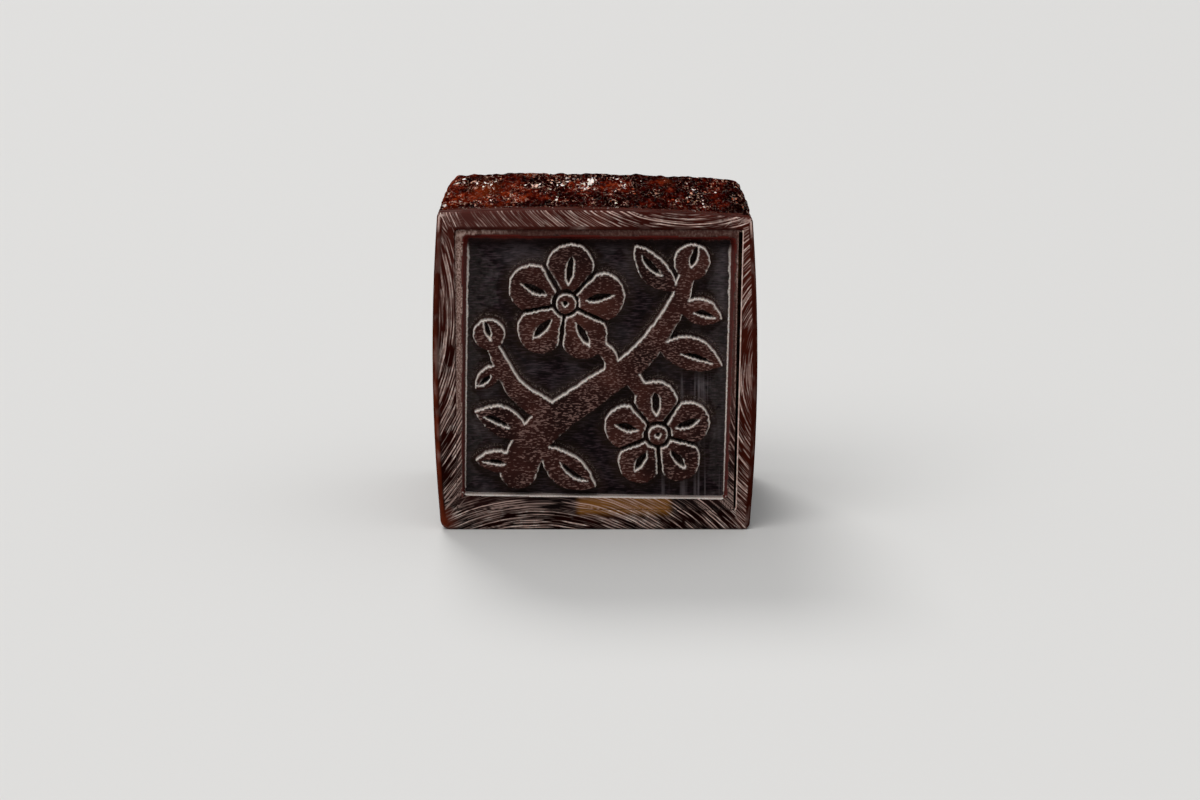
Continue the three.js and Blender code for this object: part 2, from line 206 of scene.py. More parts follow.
def rough_horn():
    """Deep red horn, whitened where the rasp tore it and with painted glints among the torn horn, a painted
    orange-red glow of light through its thin spots, and a band of painted shade behind its smooth front.
    Its marks are drawn out along the strokes of the rasp, which run from front to back."""
    material, tree, shader, place = start_material(
        "rough_horn", Specular_IOR_Level=0.0, Roughness=0.3, Coat_Roughness=0.12,
        Subsurface_Weight=0.15, Subsurface_Radius=(1.0, 0.2, 0.08), Subsurface_Scale=0.001,
    )
    axes = axes_of(tree, place)
    on_top = map_node(tree, axes["Z"], *top_side_heights)
    drawn = add_node(tree, "ShaderNodeMapping", {"Vector": place, "Scale": (1, rasp_draw, 1)}).outputs[0]
    cloud = noise_node(tree, drawn, 0.0028, 3.0)
    grain = noise_node(tree, drawn, 0.00045, 4.0, seed=4.0)
    tone = blend_node(tree, 0.45, cloud, grain)
    tone = total(tree, tone, map_node(tree, axes["X"], *block_ends, 0.03, -0.04))
    colour = ramp_node(tree, tone, [
        (0.43, (0.003, 0.0002, 0.0001)),
        (0.51, (0.019, 0.001, 0.0005)),
        (0.59, (0.075, 0.0055, 0.0014)),
        (0.7, (0.24, 0.03, 0.006)),
    ])
    on_sides = map_node(tree, on_top, 0.0, 1.0, 0.55, 0.0)
    colour = mix_node(tree, on_sides, colour, (0.016, 0.0017, 0.001))
    # A painted orange-red glow stands for light coming through the horn at its thin spots.
    for (x, y, z), reach, strength in glowing_spots:
        glow = product(tree, near_spot(tree, drawn, (x, y * rasp_draw, z), reach), strength)
        colour = mix_node(tree, glow, colour, (0.27, 0.038, 0.007))

    # Torn horn stands in pale curls, and in broad flakes where the tearing was worst. These curls and
    # flakes are partly torn horn and partly painted glints.
    cluster = noise_node(tree, drawn, 0.0016, 2.0, seed=6.0)
    cluster = total(tree, cluster, map_node(tree, axes["X"], *block_ends, 0.03, -0.05))
    worst = 0.0
    for (x, y, z), reach in torn_and_glint_spots:
        worst = math_node(tree, "MAXIMUM", worst, near_spot(tree, drawn, (x, y * rasp_draw, z), reach))
    cluster = total(tree, cluster, product(tree, worst, 0.25))
    crumbs = noise_node(tree, drawn, 0.00022, 1.5, seed=9.0)
    curls = ridge_lines(tree, noise_node(tree, drawn, 0.0005, 2.0, seed=3.0), 0.035)
    rough_zone = map_node(tree, axes["Y"], rough_from, rough_to)
    off_left_end = map_node(tree, axes["X"], -0.0146, -0.0134, 0.15, 1.0)
    torn_and_glint_zone = product(tree, rough_zone, map_node(tree, on_top, 0.0, 1.0, 0.1, 1.0), off_left_end)
    torn_curls_and_glints = product(
        tree, curls, map_node(tree, crumbs, 0.44, 0.56),
        map_node(tree, cluster, 0.43, 0.57, 0.1, 1.0), torn_and_glint_zone,
    )
    flakes_and_glints = total(tree, noise_node(tree, drawn, 0.0006, 2.0, seed=2.0), product(tree, worst, 0.3))
    flakes_and_glints = map_node(tree, flakes_and_glints, 0.73, 0.79)
    flakes_and_glints = product(tree, flakes_and_glints, map_node(tree, crumbs, 0.42, 0.52, 0.25, 1.0), torn_and_glint_zone)

    # Crumbs of horn, which are also painted glints, lie between them: cells with bent outlines, some left
    # empty, larger in a cluster.
    warp = add_node(tree, "ShaderNodeTexNoise", {"Vector": drawn, "Scale": 1 / 0.0003}).outputs["Color"]
    warp = vector_node(tree, "SCALE", {0: warp, "Scale": 0.0005})
    bent = vector_node(tree, "ADD", {0: drawn, 1: warp})
    cells = add_node(tree, "ShaderNodeTexVoronoi", {"Vector": bent, "Scale": 1 / 0.00036}).outputs
    chances = axes_of(tree, cells["Color"])
    size = map_node(tree, chances["X"], 0.35, 1.0, 0.0, 0.34)
    size = product(tree, size, map_node(tree, cluster, 0.4, 0.72, 0.5, 2.2))
    crumb_and_glint = map_node(tree, math_node(tree, "SUBTRACT", size, cells["Distance"]), 0.0, 0.1)
    whiteness = total(tree, chances["Y"], map_node(tree, cluster, 0.5, 0.7, -0.35, 0.5))
    crumb_and_glint_colour = ramp_node(tree, whiteness, [
        (0.0, (0.28, 0.045, 0.016)),
        (0.45, (0.74, 0.33, 0.22)),
        (0.8, (1.0, 0.9, 0.82)),
    ])

    # The front of the block was dressed smooth for the frame. The rasp reaches it in a ragged line, edged
    # with pale chips that also stand for painted highlights.
    ragged = map_node(tree, noise_node(tree, place, 0.0004, 3.0, seed=11.0), 0.35, 0.65, -0.0004, 0.0004)
    behind_front = map_node(tree, total(tree, axes["Y"], ragged), rough_from, rough_from + 0.0002)
    # Painted shade darkens a band of the rough surface just behind that line.
    shaded = map_node(tree, axes["Y"], rough_to, rough_to + 0.0022, 0.65, 0.0)
    colour = coated(
        tree, colour,
        (product(tree, torn_curls_and_glints, 0.9), (0.86, 0.48, 0.35)),
        (flakes_and_glints, (1.0, 0.86, 0.76)),
        (product(tree, crumb_and_glint, torn_and_glint_zone), crumb_and_glint_colour),
        (shaded, (0.007, 0.0006, 0.0004)),
    )
    colour = mix_node(tree, behind_front, (0.06, 0.017, 0.0125), colour)
    lip_chips_and_highlights = product(
        tree, ridge_lines(tree, behind_front, 0.5), map_node(tree, crumbs, 0.5, 0.6),
        map_node(tree, cluster, 0.42, 0.6, 0.1, 0.8), on_top, off_left_end,
    )
    colour = mix_node(tree, lip_chips_and_highlights, colour, (0.9, 0.72, 0.62))
    tree.links.new(colour, shader.inputs["Base Color"])
    facets = product(
        tree, map_node(tree, crumbs, 0.6, 0.67, 0.0, 0.4), map_node(tree, on_top, 0.0, 1.0, 0.3, 1.0),
        rough_zone,
    )
    tree.links.new(facets, shader.inputs["Coat Weight"])
    chips = add_node(
        tree, "ShaderNodeTexVoronoi", {"Vector": drawn, "Scale": 1 / 0.0005, "Smoothness": 0.5},
        feature="SMOOTH_F1",
    ).outputs["Distance"]
    height = product(tree, total(tree, chips, torn_curls_and_glints), rough_zone)
    tree.links.new(bump_node(tree, height, 0.0001), shader.inputs["Normal"])
    return material


def merged_bmesh(node_name):
    """A CAD node's mesh with its loose triangles joined."""
    bm = bmesh.new()
    bm.from_mesh(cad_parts[node_name].data)
    bmesh.ops.remove_doubles(bm, verts=bm.verts, dist=1e-6)
    return bm


def merged_copy(node_name, name):
    """A new object with a merged copy of a CAD node's mesh."""
    mesh = bpy.data.meshes.new(name)
    bm = merged_bmesh(node_name)
    bm.to_mesh(mesh)
    bm.free()
    made = bpy.data.objects.new(name, mesh)
    scene.collection.objects.link(made)
    return made


def rasped_tree(material):
    """Geometry nodes that sink lumps and chips into a surface behind a smooth band at its front."""
    tree = bpy.data.node_groups.new("rasped", "GeometryNodeTree")
    for side in ("OUTPUT", "INPUT"):
        tree.interface.new_socket("Geometry", in_out=side, socket_type="NodeSocketGeometry")
    for name in ("Swell", "Lump Size", "Lump Depth", "Chip Size", "Chip Depth", "Band Start", "Band End"):
        tree.interface.new_socket(name, in_out="INPUT", socket_type="NodeSocketFloat")
    given = add_node(tree, "NodeGroupInput").outputs
    position = add_node(tree, "GeometryNodeInputPosition").outputs[0]
    drawn = vector_node(tree, "MULTIPLY", {0: position, 1: (1, rasp_draw * 2, 1)})

    def texture(kind, size, inputs, **settings):
        """A texture whose marks have about the size."""
        inputs = {"Vector": drawn, "Scale": math_node(tree, "DIVIDE", 1.0, size), **inputs}
        return add_node(tree, kind, inputs, **settings).outputs

    lumps = texture("ShaderNodeTexNoise", given["Lump Size"], {"Detail": 2.0})["Fac"]
    pits = texture("ShaderNodeTexVoronoi", given["Chip Size"], {"Smoothness": 0.35}, feature="SMOOTH_F1")
    patches = texture("ShaderNodeTexNoise", product(tree, given["Chip Size"], 5.0), {})["Fac"]
    chips = product(tree, pits["Distance"], total(tree, patches, 0.4))
    lump_depth = product(tree, lumps, given["Lump Depth"])
    depth = total(tree, lump_depth, product(tree, chips, given["Chip Depth"]))
    mask = map_node(tree, axes_of(tree, position)["Y"], given["Band Start"], given["Band End"], smooth=True)
    raised = product(tree, math_node(tree, "SUBTRACT", given["Swell"], depth), mask)
    normal = add_node(tree, "GeometryNodeInputNormal").outputs[0]
    offset = vector_node(tree, "SCALE", {0: normal, "Scale": raised})
    moved = add_node(tree, "GeometryNodeSetPosition", {"Geometry": given["Geometry"], "Offset": offset})
    plain = add_node(tree, "GeometryNodeRealizeInstances", {0: moved.outputs[0]})
    finished = add_node(
        tree, "GeometryNodeSetMaterial", {"Geometry": plain.outputs[0], "Material": material}
    )
    add_node(tree, "NodeGroupOutput", {0: finished.outputs[0]})
    return tree


def bake_modifiers(piece):
    """Keeps the plain mesh that the piece's modifiers make, and drops them."""
    baked = bpy.data.meshes.new_from_object(piece.evaluated_get(bpy.context.evaluated_depsgraph_get()))
    piece.modifiers.clear()
    piece.data = baked


def grown_by_nodes(piece, tree, values):
    """Runs a geometry nodes tree on the piece with the named values, and keeps the plain mesh."""
    modifier = piece.modifiers.new(tree.name, "NODES")
    modifier.node_group = tree
    for item in tree.interface.items_tree:
        if item.in_out == "INPUT" and item.name in values:
            modifier[item.identifier] = values[item.name]
    bake_modifiers(piece)


def points_of(piece):
    """The piece's points, as an array of (x, y, z)."""
    points = np.empty(len(piece.data.vertices) * 3)
    piece.data.vertices.foreach_get("co", points)
    return points.reshape(-1, 3)


def wear_edge(piece, corner, reaches, depths):
    """Wears down the long edge that passes through the corner's (x, z), over one reach at the front
    depth and another at the back one."""
    points = points_of(piece)
    reach = np.interp(points[:, 1], depths, reaches)
    off = np.hypot(points[:, 0] - corner[0], points[:, 2] - corner[1])
    worn = 0.3 * reach * np.clip(1 - off / reach, 0, 1) ** 2
    points[:, 0] -= math.copysign(1, corner[0]) * worn
    points[:, 2] -= worn
    piece.data.vertices.foreach_set("co", points.ravel())


def keep_inside(piece, box):
    """Flattens what stands out of the box, as where the block lies on the table."""
    lowest, highest = (np.array(corner) for corner in box)
    inside = np.clip(points_of(piece), lowest, highest)
    piece.data.vertices.foreach_set("co", inside.ravel())


def shade_smooth(piece):
    piece.data.polygons.foreach_set("use_smooth", [True] * len(piece.data.polygons))
    piece.data.update()


block_grain = 0.00022
block_low, block_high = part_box("seal_block")
block_ends = (-0.015, 0.015)
# The top side is above the second of these heights, and the other sides are below the first.
top_side_heights = (0.0262, 0.0285)
worn_edges = ((-0.0147, 0.0297), (0.0147, 0.0292))
worn_reaches = (0.0004, 0.0015)
rough_from = block_low.y + 0.0005
rough_to = block_low.y + 0.0011
# How much the marks of the rasp are shortened from front to back before they are looked up.
rasp_draw = 0.25
# Thin spots where light comes through the horn, painted as an orange-red glow: the middle, the reach and
# the strength of each.
glowing_spots = (
    ((-0.0150, 0.003, 0.0288), 0.0017, 0.85),
    ((-0.0105, 0.002, 0.0297), 0.0022, 0.3),
    ((-0.0064, 0.0115, 0.0297), 0.0011, 0.8),
    ((0.0068, 0.008, 0.0295), 0.0011, 0.35),
)
# The worst torn spots, where the painted glints crowd most: the middle and the reach of each.
torn_and_glint_spots = (
    ((-0.0131, 0.006, 0.0295), 0.0014),
    ((-0.0072, 0.002, 0.0296), 0.0009),
    ((-0.0042, 0.003, 0.0296), 0.0011),
    ((-0.0027, 0.008, 0.0296), 0.0014),
    ((-0.0006, 0.005, 0.0296), 0.0018),
)
block = merged_copy("seal_block", "rough_block")
even = block.modifiers.new("even", "REMESH")
even.mode = "VOXEL"
even.voxel_size = block_grain
bake_modifiers(block)
for corner in worn_edges:
    wear_edge(block, corner, worn_reaches, (block_low.y, block_high.y))
grown_by_nodes(block, rasped_tree(rough_horn()), {
    "Swell": 0.00034,
    "Lump Size": 0.003,
    "Lump Depth": 0.0005,
    "Chip Size": 0.0007,
    "Chip Depth": 0.00024,
    "Band Start": rough_from,
    "Band End": rough_to,
})
keep_inside(block, cad_box)
shade_smooth(block)
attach(block, "root")
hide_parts("seal_block")


# Resin bed
# A film of amber adhesive that holds the frame and the die to the block. It was squeezed out nearly
# to the edge, where it set in a shallow hollow line.

def section_loops(node_name, depth):
    """The closed outlines where a plane across the seal cuts a CAD node, as arrays of (x, z)."""
    bm = merged_bmesh(node_name)
    cut = bmesh.ops.bisect_plane(
        bm, geom=bm.verts[:] + bm.edges[:] + bm.faces[:], plane_co=(0, depth, 0), plane_no=(0, 1, 0)
    )["geom_cut"]
    beside = {}
    for edge in cut:
        if isinstance(edge, bmesh.types.BMEdge):
            first, second = edge.verts
            beside.setdefault(first, []).append(second)
            beside.setdefault(second, []).append(first)
    unused = set(beside)
    loops = []
    while unused:
        here = min(unused, key=lambda vert: (vert.co.x, vert.co.z))
        loop = []
        while here is not None:
            unused.remove(here)
            loop.append((here.co.x, here.co.z))
            ahead = sorted((v for v in beside[here] if v in unused), key=lambda vert: vert.co.z)
            here = ahead[0] if ahead else None
        loops.append(anticlockwise(np.array(loop)))
    bm.free()
    return loops


def anticlockwise(loop):
    ahead = np.roll(loop, -1, axis=0)
    area = np.sum(loop[:, 0] * ahead[:, 1] - ahead[:, 0] * loop[:, 1])
    return loop if area > 0 else loop[::-1]


def loop_normals(loop):
    """Unit vectors that point out of an anticlockwise loop at each of its points."""
    along = np.roll(loop, -1, axis=0) - np.roll(loop, 1, axis=0)
    out = np.stack([along[:, 1], -along[:, 0]], axis=1)
    return out / np.linalg.norm(out, axis=1, keepdims=True)


def even_points(line, count):
    """Points spread evenly along an open line of points, without its last one."""
    run = np.concatenate([[0], np.cumsum(np.linalg.norm(np.diff(line, axis=0), axis=1))])
    at = np.linspace(0, run[-1], count, endpoint=False)
    return np.stack([np.interp(at, run, line[:, axis]) for axis in (0, 1)], axis=1)


def even_loop(loop, count):
    """The loop with its points spread evenly along it."""
    return even_points(np.vstack([loop, loop[:1]]), count)


def piece_from(name, points, faces, attributes=None):
    """A new smooth object from points and faces, with one value for each point in each attribute."""
    mesh = bpy.data.meshes.new(name)
    mesh.from_pydata([tuple(p) for p in points], [], [tuple(f) for f in faces])
    for label, values in (attributes or {}).items():
        layer = mesh.attributes.new(label, "FLOAT", "POINT")
        layer.data.foreach_set("value", np.asarray(values, np.float32))
    mesh.validate()
    made = bpy.data.objects.new(name, mesh)
    scene.collection.objects.link(made)
    shade_smooth(made)
    return made


def ring_faces(rows, columns, closed):
    """Quads between rows of points that each run round a loop, facing out of it from front to back."""
    faces = []
    for row in range(rows if closed else rows - 1):
        here = row * columns
        after = ((row + 1) % rows) * columns
        for column in range(columns):
            beyond = (column + 1) % columns
            faces.append((here + column, after + column, after + beyond, here + beyond))
    return faces


def amber_resin():
    """Clear amber adhesive, glossy at its edge."""
    material, tree, shader, place = start_material(
        "amber_resin", Roughness=0.22, IOR=1.5, Coat_Weight=0.3, Coat_Roughness=0.1,
        Subsurface_Weight=0.3, Subsurface_Radius=(1.0, 0.5, 0.15), Subsurface_Scale=0.0008,
    )
    cloud = noise_node(tree, place, 0.0016, 3.0)
    colour = ramp_node(tree, cloud, [
        (0.35, (0.05, 0.016, 0.006)),
        (0.55, (0.13, 0.05, 0.014)),
        (0.7, (0.26, 0.12, 0.03)),
    ])
    tree.links.new(colour, shader.inputs["Base Color"])
    ripple = noise_node(tree, place, 0.0004, 3.0, seed=2.0)
    tree.links.new(bump_node(tree, ripple, 0.00004), shader.inputs["Normal"])
    return material


bed_low, bed_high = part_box("resin_bed")
bed_outline = even_loop(section_loops("resin_bed", (bed_low.y + bed_high.y) / 2)[0], 900)
bed_out = loop_normals(bed_outline)
bed_rows = 7
bed_hollow = 0.00012
bed_wave = 0.00008
turn = np.linspace(0, 2 * np.pi, len(bed_outline), endpoint=False)
wave = (np.sin(17 * turn) + np.sin(29 * turn + 1.3) + np.sin(53 * turn + 0.4)) / 3
bed_points = []
for row in range(bed_rows):
    share = row / (bed_rows - 1)
    drawn_in = bed_wave * (1 + wave) / 2 + bed_hollow * math.sin(math.pi * share)
    ring = bed_outline - bed_out * drawn_in[:, None]
    depth = bed_low.y + (bed_high.y - bed_low.y) * share
    bed_points.append(np.column_stack([ring[:, 0], np.full(len(ring), depth), ring[:, 1]]))
bed_count = len(bed_outline)
bed_faces = ring_faces(bed_rows, bed_count, closed=False)
bed_faces.append(range(bed_count))
bed_faces.append(range(bed_rows * bed_count - 1, (bed_rows - 1) * bed_count - 1, -1))
bed = piece_from("resin_film", np.vstack(bed_points), bed_faces)
bed.data.materials.append(amber_resin())
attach(bed, "root")
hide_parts("resin_bed")


# Face frame
# A square ring of dark horn, two millimetres thick, whose front is the rim of the stamping face.
# It was sanded by hand in sweeping strokes, which left curved pale scratches across its rails.

def side_columns(loop, count):
    """Points along a loop, count to each side, starting at its lower left corner."""
    reach = [loop @ np.array(corner) for corner in ((-1, -1), (1, -1), (1, 1), (-1, 1))]
    corners = [int(np.argmax(values)) for values in reach]
    sides = []
    for start, end in zip(corners, corners[1:] + corners[:1]):
        stretch = loop[start:end + 1] if start < end else np.vstack([loop[start:], loop[:end + 1]])
        sides.append(even_points(stretch, count))
    return np.vstack(sides)


sanding_centres = {
    "bottom": (-0.0052, -0.0165),
    "right": (0.0245, 0.0150),
    "top": (0.0088, 0.0442),
    "left": (-0.0340, 0.0205),
}
rail_middles = {
    "bottom": (0, 0.001),
    "right": (0.0143, 0.015),
    "top": (0, 0.029),
    "left": (-0.0143, 0.015),
}


class Sanding:
    """The deeper sanding strokes: arcs about four far centres, one for each rail, each through a
    point of its rail. A stroke has a radius, a length, a width and a strength."""

    strokes = 200
    stroke_spacing = 0.00021
    usual_length = 0.0032
    centre_spread = 0.0004
    radius_spread = 0.00003

    def __init__(self, low, high, rail):
        rng = np.random.default_rng(7)
        self.arcs = []
        for number in range(self.strokes):
            side = ("bottom", "right", "top", "left")[number % 4]
            along = rng.uniform(-0.02, 1.02)
            inwards = rng.uniform(0, rail)
            spot = {
                "bottom": (low[0] + along * (high[0] - low[0]), low[1] + inwards),
                "right": (high[0] - inwards, low[1] + along * (high[1] - low[1])),
                "top": (low[0] + along * (high[0] - low[0]), high[1] - inwards),
                "left": (low[0] + inwards, low[1] + along * (high[1] - low[1])),
            }[side]
            centre = np.array(sanding_centres[side]) + rng.normal(0, self.centre_spread, 2)
            arm = np.array(spot) - centre
            reach = np.linalg.norm(arm)
            radius = round(reach / self.stroke_spacing) * self.stroke_spacing
            radius += rng.normal(0, self.radius_spread)
            half_length = rng.lognormal(math.log(self.usual_length), 0.5) / 2
            width = rng.uniform(0.000025, 0.00004)
            strength = rng.uniform(0.2, 0.7)
            self.arcs.append((centre, arm / reach, radius, half_length, width, strength))

    def marks(self, points):
        """How strongly each (x, z) point is scratched, from 0 to 1."""
        found = np.zeros(len(points))
        for centre, middle, radius, half_length, width, strength in self.arcs:
            arm = points - centre
            off = np.abs(np.hypot(arm[:, 0], arm[:, 1]) - radius)
            near = np.flatnonzero(off < 2.5 * width)
            sideways = np.abs(arm[near, 0] * middle[1] - arm[near, 1] * middle[0])
            ahead = arm[near] @ middle > 0
            fade = np.clip((half_length - sideways) / (0.35 * half_length), 0, 1) * ahead
            mark = strength * np.exp(-((off[near] / width) ** 2)) * fade
            found[near] = np.maximum(found[near], mark)
        return found


def attribute_node(tree, name):
    """The value that each point of the piece holds under the name."""
    return add_node(tree, "ShaderNodeAttribute", attribute_name=name).outputs["Fac"]


def spot_mask(tree, place, low, high, soft):
    """One inside a box of x and z, fading to nothing over the soft distance outside it."""
    axes = axes_of(tree, place)
    masks = []
    for axis, start, end in zip(("X", "Z"), low, high):
        off = math_node(tree, "ABSOLUTE", math_node(tree, "SUBTRACT", axes[axis], (start + end) / 2))
        half = (end - start) / 2
        masks.append(map_node(tree, off, half + soft, half, smooth=True))
    return product(tree, *masks)


def blond_streak(tree, place, colour):
    """The colour with the pale streak of the horn mixed in, which runs along the lower seam."""
    patches = noise_node(tree, place, 0.0009, 3.0, stretch=(6, 1, 1), seed=5.0)
    mask = spot_mask(tree, place, (-0.0012, 0.0019), (0.0066, 0.0029), 0.0008)
    strength = product(tree, mask, map_node(tree, patches, 0.35, 0.6, 0.45, 1.0), 0.9)
    return mix_node(tree, strength, colour, (0.27, 0.11, 0.022))


def swept_scratches(tree, place, side, spacing, length, seed, patch):
    """Fine scratches about one of the sanding centres, from 0 to 1. They lie in rings that are the
    spacing apart, and are about as long as the length. The patch noise makes them dense or sparse."""
    centre = sanding_centres[side]
    middle = rail_middles[side]
    reach = math.dist(centre, middle)
    towards = [(m - c) / reach for m, c in zip(middle, centre)]
    arm = add_node(
        tree, "ShaderNodeMapping",
        {"Vector": place, "Scale": (1, 0, 1), "Location": (-centre[0], 0, -centre[1])},
    ).outputs[0]
    radius = vector_node(tree, "LENGTH", {0: arm}, "Value")
    ahead = vector_node(tree, "DOT_PRODUCT", {0: arm, 1: (towards[0], 0, towards[1])}, "Value")
    sideways = vector_node(tree, "DOT_PRODUCT", {0: arm, 1: (towards[1], 0, -towards[0])}, "Value")
    angle = math_node(tree, "ARCTAN2", sideways, ahead)
    wavered = total(tree, radius, product(tree, patch, 0.00025))
    ring = product(tree, wavered, 1 / spacing)
    number = math_node(tree, "FLOOR", ring)
    chance = add_node(
        tree, "ShaderNodeTexWhiteNoise", {"W": total(tree, number, seed)}, noise_dimensions="1D"
    ).outputs["Value"]
    off_middle = math_node(
        tree, "SUBTRACT", math_node(tree, "FRACT", ring), map_node(tree, chance, 0.0, 1.0, 0.3, 0.7)
    )
    line = map_node(tree, math_node(tree, "ABSOLUTE", off_middle), 0.28, 0.04)
    spot = add_node(tree, "ShaderNodeCombineXYZ", {
        "X": product(tree, number, 7.3),
        "Y": product(tree, angle, reach / length),
        "Z": seed,
    }).outputs[0]
    streaks = add_node(
        tree, "ShaderNodeTexNoise", {"Vector": spot, "Scale": 1.0, "Detail": 0.0}
    ).outputs["Fac"]
    streaks = total(tree, streaks, map_node(tree, patch, 0.38, 0.62, -0.06, 0.08))
    strength = map_node(tree, chance, 0.0, 1.0, 1.0, 0.55)
    return product(tree, line, map_node(tree, streaks, 0.47, 0.61), strength)


def all_scratches(tree, place, *sizes):
    """Scratches of all four rails, each family fading into the next at the corners."""
    axes = axes_of(tree, place)
    x, z = axes["X"], axes["Z"]
    result = swept_scratches(tree, place, "bottom", *sizes)
    above_bottom = map_node(tree, z, 0.0016, 0.0034, smooth=True)
    past_left = map_node(tree, x, -0.0128, -0.0120, smooth=True)
    for side, on_rail, beside in (
        ("left", map_node(tree, x, -0.0118, -0.0126, smooth=True), above_bottom),
        ("right", map_node(tree, x, 0.0120, 0.0128, smooth=True), above_bottom),
        ("top", map_node(tree, z, 0.0277, 0.0283, smooth=True), past_left),
    ):
        family = swept_scratches(tree, place, side, *sizes)
        if side == "top":
            family = product(tree, family, map_node(tree, x, *faint_stretch, faint_share, 1.0))
        result = blend_node(tree, product(tree, on_rail, beside), result, family)
    return result


def horn_base(tree, place):
    """The horn's clouded red-brown, with painted shade that darkens it towards the table, redder along its
    right side and paler at its upper left, with its blond streak."""
    axes = axes_of(tree, place)
    cloud = product(tree, noise_node(tree, place, 0.0035, 3.0), 0.6)
    # Painted shade makes the horn darker towards the table and lighter towards its top.
    tone = total(tree, cloud, map_node(tree, axes["Z"], 0.002, 0.029, 0.0, 0.4))
    base = ramp_node(tree, tone, [
        (0.25, (0.004, 0.0006, 0.0004)),
        (0.45, (0.021, 0.0032, 0.002)),
        (0.7, (0.047, 0.0086, 0.006)),
        (0.85, (0.08, 0.017, 0.0115)),
    ])
    redder = map_node(tree, axes["X"], 0.0125, 0.0145, 0.0, 0.55)
    upper = map_node(tree, axes["Z"], 0.0283, 0.0286)
    upper_left = product(tree, upper, map_node(tree, axes["X"], -0.001, -0.009, 0.0, 0.6))
    base = coated(tree, base, (redder, (0.085, 0.013, 0.006)), (upper_left, (0.1, 0.032, 0.026)))
    return blond_streak(tree, place, base)


def sanding_finish(tree, place):
    """How pale the sanding has left each spot: the scratches in the mesh, together with the painted
    highlights that the frame's mesh carries, and two finer sets.
    """
    patch = noise_node(tree, place, 0.0022, 2.0, seed=3.0)
    coarse = all_scratches(tree, place, 0.00025, 0.0035, 1.0, patch)
    fine = product(tree, all_scratches(tree, place, 0.00015, 0.0022, 5.0, patch), 0.25)
    finer_sets = math_node(tree, "MAXIMUM", coarse, fine)
    return math_node(tree, "MAXIMUM", attribute_node(tree, "scratch_and_highlight"), finer_sets)


def sanded_horn():
    """Dark red-brown horn, dull and pale where the sanding scratches it, with painted highlights on some
    edges and a painted glow where light comes through it.
    """
    material, tree, shader, place = start_material(
        "sanded_horn", Specular_IOR_Level=0.0, Subsurface_Weight=0.06,
        Subsurface_Radius=(1.0, 0.25, 0.12), Subsurface_Scale=0.0007,
    )
    # A painted glow where light comes through the horn.
    glow = map_node(tree, noise_node(tree, place, 0.0016, 2.0, seed=4.0), 0.35, 0.6, 0.55, 1.0)
    glow = product(tree, glow, attribute_node(tree, "glow"))
    base = mix_node(tree, glow, horn_base(tree, place), (0.17, 0.028, 0.011))
    sanded = attribute_node(tree, "sanded")
    base = mix_node(tree, map_node(tree, sanded, 0.0, 1.0, 0.3, 0.0), base, (0.01, 0.001, 0.0006))
    filed = noise_node(tree, place, 0.00014, 1.0, stretch=(14, 1, 14), seed=8.0)
    filed = map_node(tree, filed, 0.5, 0.75, 0.0, 0.13)
    visible = blend_node(tree, sanded, filed, sanding_finish(tree, place))
    fresh = map_node(tree, noise_node(tree, place, 0.0006, 2.0, seed=16.0), 0.48, 0.62)
    scratch_and_highlight = mix_node(tree, fresh, scratch_colour, fresh_scratch_colour)
    tree.links.new(mix_node(tree, visible, base, scratch_and_highlight), shader.inputs["Base Color"])
    tree.links.new(map_node(tree, visible, 0.0, 1.0, 0.42, 0.6), shader.inputs["Roughness"])
    unscratched = math_node(tree, "SUBTRACT", 1.0, visible)
    tree.links.new(bump_node(tree, unscratched, 0.00002), shader.inputs["Normal"])
    return material


scratch_colour = (0.7, 0.48, 0.415)
fresh_scratch_colour = (1.0, 0.78, 0.69)
# The top rail's strokes are faint at its left end and grow to full strength over this stretch of x.
faint_stretch = (-0.011, -0.002)
faint_share = 0.4
frame_low, frame_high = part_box("face_frame")
frame_loops = section_loops("face_frame", (frame_low.y + frame_high.y) / 2)
frame_loops.sort(key=lambda loop: -np.ptp(loop[:, 0]))
side_count = 480
# How far the pocket's sides lie from the solid's: the top one up, the left one out, and the right one
# out at its lower and upper end.
pocket_lift = 0.00015
pocket_left_out = 0.00016
pocket_right_out = (-0.00022, 0.0002)
pocket_right_ends = (0.004, 0.026)


def settle_pocket(loop):
    """Moves the outline of the pocket to where it was really cut, a little out of square."""
    top, left, right = loop[:, 1] > 0.027, loop[:, 0] < -0.012, loop[:, 0] > 0.0125
    loop[right, 0] += np.interp(loop[right, 1], pocket_right_ends, pocket_right_out)
    loop[left, 0] -= pocket_left_out
    loop[top, 1] += pocket_lift


settle_pocket(frame_loops[1])
rim_outer = side_columns(frame_loops[0], side_count)
rim_inner = side_columns(frame_loops[1], side_count)
rim_outer_out = loop_normals(rim_outer)
rim_inner_out = loop_normals(rim_inner)
frame_thickness = frame_high.y - frame_low.y
outer_arris = 0.00038
inner_arris = np.full(len(rim_inner), 0.00002)
inner_arris[side_count:3 * side_count] = 0.00009
back_arris = 0.00015
scratch_depth = 0.00003
rail_width = 0.0024
# Where the sanding stops short of a rail's edge, as a share of the rail's width from the pocket.
missed_top = 0.12
missed_right = 0.92
missed_left = 0.88
missed_fade = 0.1
# Light comes through the horn at one corner, where it is painted as a glow, and two other corners and the
# pocket's right edge carry painted highlights.
glow_corner = np.array((-0.0142, 0.0008))
glow_reach = 0.0013
highlight_corners = np.array(((-0.0148, 0.0291), (0.0148, 0.0286)))
highlight_reach = 0.0011
pocket_edge_highlight = 0.85
right_side = slice(side_count, 2 * side_count)
top_side = slice(2 * side_count, 3 * side_count)
left_side = slice(3 * side_count, 4 * side_count)

